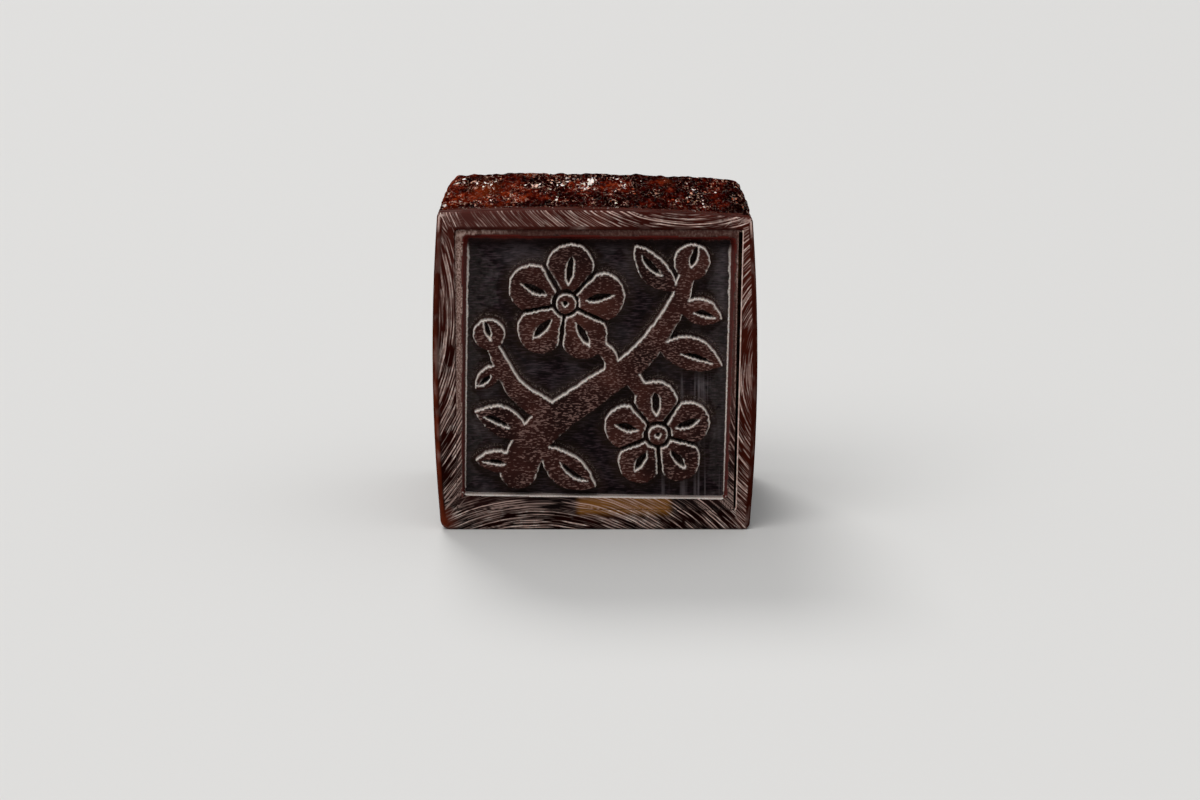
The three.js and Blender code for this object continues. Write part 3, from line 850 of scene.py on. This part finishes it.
frame_rows = []
for depth in np.linspace(frame_thickness, inner_arris, 3):
    frame_rows.append((rim_inner, depth))
for angle in np.radians((30, 60, 90)):
    inset = inner_arris[:, None] * (1 - math.cos(angle))
    frame_rows.append((rim_inner + rim_inner_out * inset, inner_arris * (1 - math.sin(angle))))
front_start = len(frame_rows) - 1
front_inner = frame_rows[-1][0]
front_outer = rim_outer - rim_outer_out * outer_arris
for share in np.linspace(0, 1, 31)[1:]:
    frame_rows.append((front_inner + (front_outer - front_inner) * share, 0.0))
arris_start = len(frame_rows)
front_end = arris_start + 3
for angle in np.radians((18, 36, 54, 72, 90)):
    inset = outer_arris * (1 - math.sin(angle))
    frame_rows.append((rim_outer - rim_outer_out * inset, outer_arris * (1 - math.cos(angle))))
for depth in np.linspace(outer_arris, frame_thickness - back_arris, 5)[1:]:
    frame_rows.append((rim_outer, depth))
frame_rows.append((rim_outer - rim_outer_out * back_arris, frame_thickness))

sanding = Sanding((frame_low.x, frame_low.z), (frame_high.x, frame_high.z), rail_width)
frame_points = []
frame_scratch = []
frame_sanded = []
frame_glow = []
for row, (ring, depth) in enumerate(frame_rows):
    on_front = front_start <= row <= front_end
    marks = sanding.marks(ring) if on_front else np.zeros(len(ring))
    marks[top_side] *= np.interp(ring[top_side, 0], faint_stretch, (faint_share, 1))
    sunk = frame_low.y + depth + scratch_depth * marks
    frame_points.append(np.column_stack([ring[:, 0], sunk, ring[:, 1]]))
    share = (row - front_start) / (arris_start - front_start)
    sanded = np.full(len(ring), 1.0 * on_front)
    sanded[top_side] *= np.clip((share - missed_top) / missed_fade, 0, 1)
    sanded[right_side] *= np.clip((missed_right - share) / missed_fade, 0, 1)
    sanded[left_side] *= np.clip((missed_left - share) / missed_fade, 0, 1)
    # Painted highlights lie along the pocket's right edge and round two outer corners.
    if front_start - 2 <= row <= front_start:
        marks[right_side] = pocket_edge_highlight
        sanded[right_side] = 1
    if row in (arris_start, arris_start + 1):
        for corner in highlight_corners:
            highlight = np.clip(1.4 - np.hypot(*(ring - corner).T) / highlight_reach, 0, 1)
            marks = np.maximum(marks, highlight)
            sanded = np.maximum(sanded, highlight)
    # A painted glow stands for light coming through the horn at one corner and along the outer left edge.
    glow = np.clip(1.3 - np.hypot(*(ring - glow_corner).T) / glow_reach, 0, 1)
    sanded *= 1 - glow
    edge_glow = np.interp(ring[left_side, 1], (0.01, 0.02), (1, 0.4))
    edge_glow = edge_glow * np.clip((share - missed_left) / missed_fade, 0, 1)
    glow[left_side] = np.maximum(glow[left_side], edge_glow)
    frame_scratch.append(marks)
    frame_sanded.append(sanded)
    frame_glow.append(glow * 0.9 * (row >= front_start))
rim = piece_from(
    "sanded_frame", np.vstack(frame_points), ring_faces(len(frame_rows), 4 * side_count, closed=True),
    {
        "scratch_and_highlight": np.concatenate(frame_scratch),
        "sanded": np.concatenate(frame_sanded),
        "glow": np.concatenate(frame_glow),
    },
)
rim.data.materials.append(sanded_horn())
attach(rim, "root")
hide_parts("face_frame")


# Engraved die
# A square plate of the same horn, let into the pocket of the frame. A cutter cleared its field in
# fine level passes and left the design standing between pale, freshly cut walls.

def even_odd(loops, across, up):
    """True at each grid point that lies in an odd number of the loops."""
    inside = np.zeros((len(up), len(across)), bool)
    for loop in loops:
        ahead = np.roll(loop, -1, axis=0)
        for row, z in enumerate(up):
            crossed = (loop[:, 1] > z) != (ahead[:, 1] > z)
            start, end = loop[crossed], ahead[crossed]
            hits = start[:, 0] + (z - start[:, 1]) / (end[:, 1] - start[:, 1]) * (end[:, 0] - start[:, 0])
            inside[row] ^= np.searchsorted(np.sort(hits), across) % 2 == 1
    return inside


def loop_length(loop):
    return np.linalg.norm(np.roll(loop, -1, axis=0) - loop, axis=1).sum()


def distance_grid(loops, across, up):
    """The distance from each grid point to the nearest of the loops."""
    spots = np.vstack([even_loop(loop, max(12, int(loop_length(loop) / 0.00002))) for loop in loops])
    tree = kdtree.KDTree(len(spots))
    for number, (x, z) in enumerate(spots):
        tree.insert((x, z, 0), number)
    tree.balance()
    found = [tree.find((x, z, 0))[2] for z in up for x in across]
    return np.array(found).reshape(len(up), len(across))


def level_loops(field, level, across, up):
    """Closed loops of points where the field over the grid crosses the level."""
    above = field > level
    count = above[:-1, :-1].astype(int) + above[:-1, 1:] + above[1:, :-1] + above[1:, 1:]
    points = {}
    beside = {}
    for row, column in np.argwhere((count > 0) & (count < 4)):
        corners = ((row, column), (row, column + 1), (row + 1, column + 1), (row + 1, column))
        crossed = []
        for first, second in zip(corners, corners[1:] + corners[:1]):
            if above[first] != above[second]:
                edge = min(first, second) + max(first, second)
                if edge not in points:
                    share = (level - field[first]) / (field[second] - field[first])
                    start = np.array((across[first[1]], up[first[0]]))
                    points[edge] = start + share * (np.array((across[second[1]], up[second[0]])) - start)
                crossed.append(edge)
        for here, there in zip(crossed[::2], crossed[1::2]):
            beside.setdefault(here, []).append(there)
            beside.setdefault(there, []).append(here)
    loops = []
    unused = dict.fromkeys(points)
    while unused:
        here = next(iter(unused))
        loop = []
        while here is not None:
            del unused[here]
            loop.append(points[here])
            here = next((edge for edge in beside[here] if edge in unused), None)
        loops.append(np.array(loop))
    return loops


def grid_value(grid, across, up, points):
    """The grid's value at each (x, z) point, by straight interpolation."""
    column = np.clip((points[:, 0] - across[0]) / (across[1] - across[0]), 0, len(across) - 1.001)
    row = np.clip((points[:, 1] - up[0]) / (up[1] - up[0]), 0, len(up) - 1.001)
    left, below = column.astype(int), row.astype(int)
    x, z = column - left, row - below
    lower = grid[below, left] * (1 - x) + grid[below, left + 1] * x
    upper = grid[below + 1, left] * (1 - x) + grid[below + 1, left + 1] * x
    return lower * (1 - z) + upper * z


def engraved_horn():
    """Dark horn: brown tops, pale cut walls that are painted pale only where they face up or sideways, as
    painted light, a grey rippled field with a painted sheen, painted shade below its upper wall and a brown
    halo round the design, and a border that is grained where the cutter skimmed it and scratched where it
    was sanded."""
    material, tree, shader, place = start_material(
        "engraved_horn", IOR=1.5, Specular_IOR_Level=0.06, Subsurface_Weight=0.05,
        Subsurface_Radius=(1.0, 0.3, 0.15), Subsurface_Scale=0.0005,
    )
    top = ramp_node(tree, noise_node(tree, place, 0.005, 2.0), [
        (0.35, (0.014, 0.0034, 0.0026)),
        (0.55, (0.034, 0.009, 0.0066)),
        (0.7, (0.06, 0.018, 0.0125)),
    ])
    dashes = noise_node(tree, place, 0.00011, 1.0, stretch=(3.0, 1, 1), seed=2.0)
    patches = product(tree, noise_node(tree, place, 0.0022, 1.0, seed=8.0), 0.25)
    dashes = map_node(tree, math_node(tree, "SUBTRACT", dashes, patches), 0.43, 0.54)
    dashes = product(tree, dashes, attribute_node(tree, "worn"), 0.75)
    top = mix_node(tree, dashes, top, (0.24, 0.14, 0.12))

    # The field: fine level ripples, a painted cold sheen in drifts, and upright bands at its lower right.
    ripple = noise_node(tree, place, 0.00012, 2.0, stretch=(6, 1, 1), seed=1.0)
    drift = noise_node(tree, place, 0.0026, 2.0, seed=14.0)
    field = ramp_node(tree, ripple, [
        (0.36, (0.002, 0.0006, 0.0009)),
        (0.5, (0.008, 0.0031, 0.0042)),
        (0.64, (0.038, 0.023, 0.028)),
    ])
    sheen = product(
        tree, attribute_node(tree, "sheen"), map_node(tree, drift, 0.46, 0.6, 0.0, 0.9),
        map_node(tree, ripple, 0.3, 0.6, 0.45, 1.0),
    )
    bands = noise_node(tree, place, 0.0005, 2.0, stretch=(1, 1, 40), seed=7.0)
    banded = spot_mask(tree, place, (0.0065, 0.0035), (0.0112, 0.0135), 0.002)
    dark_bands = product(tree, banded, map_node(tree, bands, 0.48, 0.36), 0.6)
    pale_bands = product(tree, banded, map_node(tree, bands, 0.54, 0.66), 0.85)
    halo = product(tree, attribute_node(tree, "halo"), map_node(tree, ripple, 0.35, 0.6, 1.0, 0.6))
    pale_specks = map_node(tree, noise_node(tree, place, 0.00011, 1.0, seed=12.0), 0.52, 0.6)
    pale_specks = product(tree, pale_specks, attribute_node(tree, "pale_speck_mask"))
    in_wall = attribute_node(tree, "field_wall")
    field = coated(
        tree, field,
        (sheen, (0.15, 0.122, 0.134)),
        (dark_bands, (0.007, 0.003, 0.004)),
        (pale_bands, (0.135, 0.112, 0.12)),
        (halo, (0.03, 0.0155, 0.0082)),
        (pale_specks, (0.3, 0.23, 0.2)),
        (attribute_node(tree, "shade"), (0.006, 0.0012, 0.0012)),
        (in_wall, (0.09, 0.01, 0.007)),
    )

    # The border's grain stands upright, apart from the upper stretch, where it lies level.
    upright = noise_node(tree, place, 0.0001, 2.0, stretch=(1, 1, 1.7), seed=5.0)
    level = noise_node(tree, place, 0.00014, 2.0, stretch=(1.5, 1, 2), seed=5.0)
    on_upper = map_node(tree, axes_of(tree, place)["Z"], 0.0268, 0.0272)
    border_grain = blend_node(tree, on_upper, upright, level)
    border = ramp_node(tree, border_grain, [
        (0.36, (0.12, 0.06, 0.047)),
        (0.5, (0.25, 0.15, 0.125)),
        (0.64, (0.5, 0.35, 0.3)),
    ])
    border = mix_node(tree, attribute_node(tree, "pale"), (0.046, 0.012, 0.0085), border)

    deep = attribute_node(tree, "deep")
    rail = mix_node(tree, sanding_finish(tree, place), horn_base(tree, place), scratch_colour)
    wall_grain = noise_node(tree, place, 0.00014, 2.0, seed=3.0)
    wall = ramp_node(tree, wall_grain, [(0.35, (0.74, 0.6, 0.52)), (0.6, (1.0, 0.94, 0.88))])
    pale_and_lit_wall = math_node(tree, "POWER", attribute_node(tree, "wall"), 1.6)
    colour = coated(
        tree, top,
        (math_node(tree, "MAXIMUM", deep, in_wall), field),
        (attribute_node(tree, "border"), border),
        (attribute_node(tree, "sanded"), rail),
        (pale_and_lit_wall, wall),
    )
    tree.links.new(colour, shader.inputs["Base Color"])
    tree.links.new(map_node(tree, deep, 0.0, 1.0, 0.5, 0.42), shader.inputs["Roughness"])
    rippled = bump_node(tree, product(tree, ripple, deep), 0.00004)
    grained = bump_node(tree, border_grain, 0.000012, normal=rippled)
    tree.links.new(grained, shader.inputs["Normal"])
    return material


die_low, die_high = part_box("engraved_die")
plate_arris = 0.00004
die_loops = section_loops("engraved_die", die_low.y + plate_arris)
die_loops.sort(key=lambda loop: -np.ptp(loop[:, 0]))
plate_edge, field_mouth = die_loops[0], die_loops[1]
design_loops = die_loops[2:]
settle_pocket(plate_edge)
grid_step = 0.00005
across = np.arange(die_low.x, die_high.x, grid_step)
up = np.arange(die_low.z, die_high.z, grid_step)
# The field as it was cut, a little out of square: how far each of its sides strays, from end to end.
top_ends = (-0.012, -0.003, 0.0125)
top_rise = (0.0004, 0.00026, 0.00022)
bottom_ends = (-0.012, 0.0125)
bottom_rise = (0.00068, 0.0003)
side_ends = (0.003, 0.027)
left_shift = (-0.00042, -0.0002)
right_shift = (-0.0003, 0.00038)
mouth_top = 0.0273
design_rise = 0.0003
at_top, at_bottom = field_mouth[:, 1] > side_ends[1], field_mouth[:, 1] < side_ends[0]
at_left, at_right = field_mouth[:, 0] < -0.0115, field_mouth[:, 0] > 0.0121
field_mouth[at_left, 0] += np.interp(field_mouth[at_left, 1], side_ends, left_shift)
field_mouth[at_right, 0] += np.interp(field_mouth[at_right, 1], side_ends, right_shift)
field_mouth[at_top, 1] += np.interp(field_mouth[at_top, 0], top_ends, top_rise)
mouth_bottom = field_mouth[:, 1].min() + np.interp(across, bottom_ends, bottom_rise)
field_mouth[at_bottom, 1] += np.interp(field_mouth[at_bottom, 0], bottom_ends, bottom_rise)
for loop in design_loops:
    loop[:, 1] += design_rise

# Fit of the plate in its pocket: close on three sides, and open at the top of the right side
gap_closed = 0.000115
gap_open = 0.00021
gap_low = 0.00006
sink_top_left = 0.00025
sink_flush = 0.00001
# Section of a cut wall, from the edge of a top down to the field
wall_runs = (0, 0.00003, 0.00012, 0.00015, 0.00018, 0.00021)
wall_drops = (0, 0.00005, 0.00110, 0.00114, 0.00116, 0.00118)
# How steeply the field's own walls fall: at its sides, at their lower and upper end, and along its foot
side_slopes = (0.58, 0.33)
slope_ends = (0.004, 0.026)
lower_slope = 5.0
# How far the brown halo reaches round the design, and the height of one pass of the cutter
halo_reach = 0.0011
pass_height = 0.0001
# Spacing of the mesh's points: along every edge, over the border, and over the tops and the field
edge_step = 0.00009
border_step = 0.00009
open_step = 0.00017
# How far such points keep from a wall, and from the edge of a top or of the plate
clearance = 0.00006
edge_margin = 0.00005

cleared = even_odd([field_mouth] + design_loops, across, up)
design_distance = distance_grid(design_loops, across, up)
mouth_distance = distance_grid([field_mouth], across, up)
# With the lower side of the mouth set far down, its distance is that from the other three sides.
deep_mouth = field_mouth.copy()
deep_mouth[at_bottom, 1] -= 0.005
from_sides = distance_grid([deep_mouth], across, up)
from_below = np.maximum(up[:, None] - mouth_bottom, 0)
side_slope = np.interp(up, slope_ends, side_slopes)[:, None]
near_bottom = np.interp(from_sides - from_below, (-0.0001, 0.0002), (0, 1))
mouth_fall = mouth_distance * (side_slope + (lower_slope - side_slope) * near_bottom)
distance = np.minimum(design_distance, mouth_fall)
distance = np.where(cleared, distance, -distance)
in_mouth = even_odd([field_mouth], across, up).astype(float)


def plate_value(grid, points):
    """The value at each (x, z) point of a grid over the plate."""
    return grid_value(grid, across, up, points)


def upward_slope(field):
    """How squarely a grid over the plate rises towards the top at each of its points, from -1 to 1."""
    rise, run = np.gradient(field, grid_step)
    return rise / np.maximum(np.hypot(rise, run), 0.1)


def soft_grain(spacing, size, seed):
    """Smooth random values over the plate's grid, with the spacing between swings."""
    rows, columns = (int(np.ptp(line) / spacing) + 3 for line in (up, across))
    coarse = np.random.default_rng(seed).uniform(-size, size, (rows, columns))
    coarse_across = np.arange(columns) * spacing + across[0]
    coarse_up = np.arange(rows) * spacing + up[0]
    spots = np.stack(np.meshgrid(across, up), axis=-1).reshape(-1, 2)
    return grid_value(coarse, coarse_across, coarse_up, spots).reshape(len(up), len(across))


# The cutter wavered, so the edges of the design do too. Its passes left teeth on those that face up.
tooth_pitch = 0.00038
tooth_height = 0.0001
level_edge = np.clip((upward_slope(distance) - 0.8) / 0.15, 0, 1)
teeth = level_edge * (across / tooth_pitch % 1 - 0.5) * tooth_height
off_mouth = np.clip(mouth_distance / 0.0006 - 0.5, 0, 1)
wavering = soft_grain(0.0003, 0.00006, 21) + soft_grain(0.0009, 0.00005, 22)
distance = distance + off_mouth * (wavering + teeth)


def keep_in_pocket(ring):
    """The plate's edge, eased out on three sides and drawn in along the right one, more at its top."""
    eased = ring + loop_normals(ring) * gap_closed
    at_right = loop_normals(ring)[:, 0] > 0.9
    share = (ring[:, 1] - die_low.z) / (die_high.z - die_low.z)
    eased[at_right, 0] = ring[at_right, 0] - (gap_low + (gap_open - gap_low) * share[at_right])
    return eased


plate_count = 260
plate_ring = side_columns(keep_in_pocket(plate_edge), plate_count)
right_edge = plate_ring[plate_count:2 * plate_count]
plate_front_ring = plate_ring - loop_normals(plate_ring) * plate_arris
rings = [plate_front_ring]
for run in wall_runs:
    for loop in level_loops(distance, run, across, up):
        count = int(loop_length(loop) / edge_step)
        if count > 7:
            rings.append(even_loop(loop, count))


def lattice(step):
    """Points in offset rows over the plate, just inside its edge."""
    rows = np.arange(die_low.z + step, die_high.z, step * math.sqrt(0.75))
    spots = []
    for number, z in enumerate(rows):
        x = np.arange(die_low.x + step * (0.5 + 0.5 * (number % 2)), die_high.x, step)
        spots.append(np.column_stack([x, np.full(len(x), z)]))
    return np.vstack(spots)


def in_plate(points):
    """True for each (x, z) point that lies well inside the edge of the plate."""
    fence = plate_front_ring - loop_normals(plate_front_ring) * edge_margin
    limit = np.interp(points[:, 1], right_edge[:, 1], right_edge[:, 0]) - edge_step
    inside = np.all((points > fence.min(axis=0)) & (points < fence.max(axis=0)), axis=1)
    return inside & (points[:, 0] < limit)


open_spots = lattice(open_step)
off = plate_value(distance, open_spots)
off_walls = (off < -clearance) | (off > wall_runs[-1] + clearance)
open_spots = open_spots[off_walls & (plate_value(in_mouth, open_spots) > 0.5)]
border_spots = lattice(border_step)
off_walls = plate_value(distance, border_spots) < -edge_margin
on_border = plate_value(in_mouth, border_spots) <= 0.5
border_spots = border_spots[on_border & off_walls & in_plate(border_spots)]
# Where two walls meet in a narrow cut, the mesh has points along the line between them.
slope = np.hypot(*np.gradient(distance, grid_step))
ridge = (slope < 0.75) & (distance > clearance) & (distance < wall_runs[-1])
ridge_rows, ridge_columns = np.nonzero(ridge[::2, ::2])
ridge_spots = np.column_stack([across[::2][ridge_columns], up[::2][ridge_rows]])

flat_points = np.vstack(rings + [open_spots, border_spots, ridge_spots])
edges = []
start = 0
for ring in rings:
    count = len(ring)
    edges.extend((start + i, start + (i + 1) % count) for i in range(count))
    start += count
rim_face = list(range(len(plate_front_ring)))
made_points, _, made_faces, sources, _, _ = geometry.delaunay_2d_cdt(
    [Vector(point) for point in flat_points], edges, [rim_face], 1, 1e-7
)
made_points = np.array([tuple(point) for point in made_points])
place_of = {old: new for new, olds in enumerate(sources) for old in olds}
rim_numbers = [place_of[number] for number in rim_face]

off = plate_value(distance, made_points)
design_off = plate_value(design_distance, made_points)
in_field = plate_value(in_mouth, made_points) > 0.5
drop = np.interp(off, wall_runs, wall_drops)
share_right = (made_points[:, 0] - die_low.x) / (die_high.x - die_low.x)
share_up = (made_points[:, 1] - die_low.z) / (die_high.z - die_low.z)
tilt = np.clip((share_up - 0.3) / 0.6, 0, 1) * (1 - 0.45 * share_right)
sink = sink_flush + (sink_top_left - sink_flush) * tilt
on_border = ~in_field & (off < 0)
# The sanding reached the plate only where it lies flush with the frame.
flush = np.interp(sink, (0.00002, 0.00004), (1, 0))
marks = sanding.marks(made_points) * on_border * flush
front = face_y + sink + drop + scratch_depth * marks

# The cutter's level passes show as small steps on every long shallow edge.
level = made_points[:, 1] / pass_height
part = level - np.floor(level)
stepped = (np.floor(level) + part * part * (3 - 2 * part)) * pass_height
cut = in_field & (off > -0.0002)
height = np.where(cut, stepped * 0.85 + made_points[:, 1] * 0.15, made_points[:, 1])
pass_count = int(frame_high.z / pass_height) + 1
jitter = np.random.default_rng(11).uniform(-0.000012, 0.000012, pass_count)
sideways = np.where(cut, jitter[np.floor(level).astype(int)], 0)
front_points = np.column_stack([made_points[:, 0] + sideways, front, height])
for number in rim_numbers:
    front_points[number, [0, 2]] = made_points[number]

rim_count = len(rim_numbers)
side_start = len(front_points)
edge_sink = sink[rim_numbers]
edge_rows = [
    np.column_stack([plate_ring[:, 0], face_y + edge_sink + plate_arris, plate_ring[:, 1]]),
    np.column_stack([plate_ring[:, 0], np.full(rim_count, die_high.y), plate_ring[:, 1]]),
]
die_points = np.vstack([front_points] + edge_rows)
die_faces = [tuple(face) for face in made_faces]
row_numbers = [
    rim_numbers,
    list(range(side_start, side_start + rim_count)),
    list(range(side_start + rim_count, side_start + 2 * rim_count)),
]
for here, after in zip(row_numbers, row_numbers[1:]):
    for column in range(rim_count):
        beyond = (column + 1) % rim_count
        die_faces.append((here[column], after[column], after[beyond], here[beyond]))
die_faces.append(row_numbers[-1][::-1])

# The cut walls are pale, fresh horn, but they are painted pale only where they face up or sideways, where
# the light falls on them. Those that face down stay dark, as painted shade.
facing_up = plate_value(upward_slope(distance), made_points)
pale = np.clip((facing_up + 0.75) / 0.5, 0, 1)
pale_and_lit_wall_share = pale * np.interp(off, (0, 0.00003, 0.00008, 0.00012), (0.85, 1, 0.8, 0))
# The wall of the field itself is dark, with a pale line along its foot where that faces up or sideways, and
# its lower side, which faces up, is painted pale as painted light.
by_mouth = plate_value(mouth_fall, made_points) < design_off
foot = np.interp(off, (0.00012, 0.00015, 0.00018, 0.00021), (0.1, 1, 1, 0.1))
foot *= pale * np.interp(share_up, (0.08, 0.35, 0.7, 0.95), (0.75, 1, 1, 0.7))
below_top = mouth_top + np.interp(made_points[:, 0], top_ends, top_rise) - made_points[:, 1]
foot *= np.interp(below_top, (0.0007, 0.0014), (0, 1))
lit_lower_wall = np.interp(off, (0, 0.00003, 0.00012, 0.00018), (1, 1, 0.4, 0)) * (facing_up > 0.8)
pale_and_lit_wall_share = np.where(by_mouth, np.maximum(foot, lit_lower_wall), pale_and_lit_wall_share)
field_wall = by_mouth * in_field * np.interp(off, (-0.00001, 0, 0.00013, 0.00018), (0, 1, 1, 0))
# The border is palest at its upper left, and along the very edge at the open gap.
pale_border = np.interp(share_up, (0.3, 0.55, 0.9), (0.65, 0.85, 1.1)) * (1 - 0.9 * share_right)
pale_top = np.interp(share_right, (0.06, 0.22, 1), (0.85, 0.1, 0.2))
pale_border = np.where(share_up > 0.965, pale_top, pale_border)
from_edge = np.interp(made_points[:, 1], right_edge[:, 1], right_edge[:, 0]) - made_points[:, 0]
pale_border = np.maximum(pale_border, np.clip(2 - from_edge / 0.00008, 0, 1))
# A painted cold sheen lies along the sides of the field, and pale specks lie above the edges that face up.
sheen = np.interp(plate_value(from_sides, made_points), (0.0006, 0.0011, 0.0040), (0.1, 1.0, 0.2))
sheen *= np.maximum(np.clip(share_up * 2, 0.4, 1), share_right) * np.interp(share_up, (0.8, 0.95), (1, 0.4))
sheen *= np.interp(share_right, (0.5, 0.9), (1, 0.65))
# Painted shade darkens the field just below its upper wall.
shade = np.interp(below_top, (0, 0.0008, 0.0018), (0.95, 0.75, 0))
pale_speck_mask = np.interp(design_off, (0.0002, 0.0003, 0.0006), (0, 0.55, 0)) * (facing_up > 0.2)
worn = np.clip(0.25 + 1.3 * (1 - share_up) + 0.5 * share_right, 0, 1)
front_values = {
    "wall": np.where(off > -0.00001, pale_and_lit_wall_share, 0),
    "deep": np.clip(off / 0.00025, 0, 1),
    "halo": np.clip(1.15 - design_off / halo_reach, 0, 1) * (off > 0) * 0.7,
    "sheen": sheen * (off > 0),
    "shade": shade * in_field,
    "field_wall": field_wall,
    "pale_speck_mask": pale_speck_mask * (off > 0),
    "worn": worn,
    "border": on_border * 1.0,
    "pale": pale_border,
    "sanded": on_border * flush,
    "scratch_and_highlight": marks,
}
edge_zeros = np.zeros(2 * rim_count)
die = piece_from("engraved_plate", die_points, die_faces, {
    name: np.concatenate([values, edge_zeros]) for name, values in front_values.items()
})
die.data.materials.append(engraved_horn())
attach(die, "root")
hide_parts("engraved_die")


# Studio
# A pale table, a soft lamp above and behind, a weaker one in front, and a plain pale room.

def far_lamp(name, azimuth, elevation, softness, strength):
    """A distant soft lamp. Azimuth 0 is in front of the seal's face, and 90 to its right."""
    data = bpy.data.lights.new(name, "SUN")
    data.angle = math.radians(softness)
    data.energy = strength
    lamp = bpy.data.objects.new(name, data)
    side, rise = math.radians(azimuth), math.radians(elevation)
    away = Vector((math.sin(side) * math.cos(rise), -math.cos(side) * math.cos(rise), math.sin(rise)))
    lamp.rotation_euler = away.to_track_quat("Z", "Y").to_euler()
    scene.collection.objects.link(lamp)


far_lamp("back_lamp", 195, 42, 20, 1.3)
far_lamp("front_lamp", -35, 48, 50, 0.9)

floor_size = 30.0
table = piece_from(
    "table", [(x * floor_size, y * floor_size, 0) for x, y in ((-1, -1), (1, -1), (1, 1), (-1, 1))],
    [(0, 1, 2, 3)],
)
table_paint = start_material(
    "table_paint", Base_Color=(0.72, 0.71, 0.69, 1), Roughness=0.8, Specular_IOR_Level=0.2
)
table.data.materials.append(table_paint[0])

world = bpy.data.worlds.new("room")
scene.world = world
world.use_nodes = True
room = world.node_tree
direction = add_node(room, "ShaderNodeTexCoord").outputs["Generated"]
rise = math_node(room, "MAXIMUM", axes_of(room, direction)["Z"], 0.0)
sky = map_node(room, math_node(room, "POWER", rise, 2.0), 0.0, 1.0, 0.07, 1.0)
background = room.nodes["Background"]
background.inputs["Color"].default_value = (0.97, 0.98, 1.0, 1)
room.links.new(sky, background.inputs["Strength"])
scene.view_settings.view_transform = "Standard"
